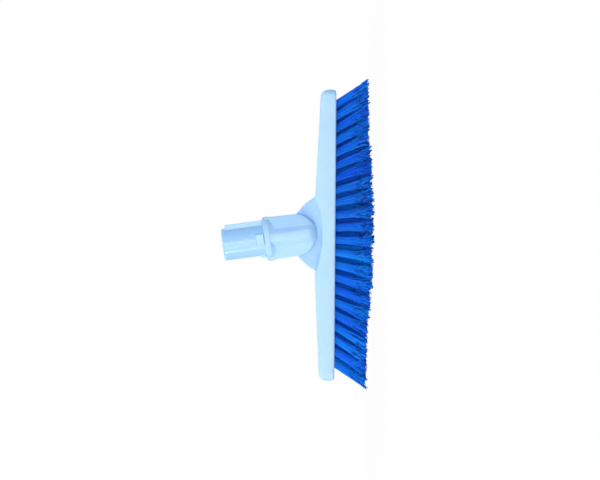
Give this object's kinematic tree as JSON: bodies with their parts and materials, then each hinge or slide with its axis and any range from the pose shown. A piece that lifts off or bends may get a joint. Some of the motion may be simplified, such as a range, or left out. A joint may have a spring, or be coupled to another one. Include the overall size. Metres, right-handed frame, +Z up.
{
  "type": "grout brush",
  "caption": "Slim bristle brush head for scrubbing tile joints, with two rows of flared tufts and a swivelling threaded handle socket.",
  "frame": {"origin": "on the floor under the centre of the brush, where the bristle tips stand", "axes": "+Z up from the bristle tips to the handle socket, +X along the block's length, +Y across the block towards the side that holds the pin's head; the socket leans towards -X at rest"},
  "size_m": [0.2464, 0.03, 0.1209],
  "materials": {
    "block_plastic": "smooth pale sky blue moulding, soft gloss",
    "yoke_plastic": "smooth pale sky blue moulding, soft gloss",
    "socket_plastic": "smooth sky blue moulding, soft gloss",
    "pin_steel": "plain stainless steel",
    "bristle_fibre": "royal blue stiff bristle fibre"
  },
  "bodies": {
    "brush_head": {"brush_block": "block_plastic", "tuft_near_01": "bristle_fibre", "tuft_near_02": "bristle_fibre", "tuft_near_03": "bristle_fibre", "tuft_near_04": "bristle_fibre", "tuft_near_05": "bristle_fibre", "tuft_near_06": "bristle_fibre", "tuft_near_07": "bristle_fibre", "tuft_near_08": "bristle_fibre", "tuft_near_09": "bristle_fibre", "tuft_near_10": "bristle_fibre", "tuft_near_11": "bristle_fibre", "tuft_near_12": "bristle_fibre", "tuft_near_13": "bristle_fibre", "tuft_near_14": "bristle_fibre", "tuft_near_15": "bristle_fibre", "tuft_near_16": "bristle_fibre", "tuft_near_17": "bristle_fibre", "tuft_near_18": "bristle_fibre", "tuft_near_19": "bristle_fibre", "tuft_near_20": "bristle_fibre", "tuft_near_21": "bristle_fibre", "tuft_near_22": "bristle_fibre", "tuft_far_01": "bristle_fibre", "tuft_far_02": "bristle_fibre", "tuft_far_03": "bristle_fibre", "tuft_far_04": "bristle_fibre", "tuft_far_05": "bristle_fibre", "tuft_far_06": "bristle_fibre", "tuft_far_07": "bristle_fibre", "tuft_far_08": "bristle_fibre", "tuft_far_09": "bristle_fibre", "tuft_far_10": "bristle_fibre", "tuft_far_11": "bristle_fibre", "tuft_far_12": "bristle_fibre", "tuft_far_13": "bristle_fibre", "tuft_far_14": "bristle_fibre", "tuft_far_15": "bristle_fibre", "tuft_far_16": "bristle_fibre", "tuft_far_17": "bristle_fibre", "tuft_far_18": "bristle_fibre", "tuft_far_19": "bristle_fibre", "tuft_far_20": "bristle_fibre", "tuft_far_21": "bristle_fibre"},
    "swivel": {"swivel_yoke": "yoke_plastic", "handle_socket": "socket_plastic", "pivot_pin": "pin_steel"}
  },
  "joints": [
    {"name": "swivel_hinge", "type": "hinge", "parent": "brush_head", "child": "swivel", "pos_m": [0, 0, 0.0614], "axis": [0, 1, 0], "range_deg": [-52, 68]}
  ]
}
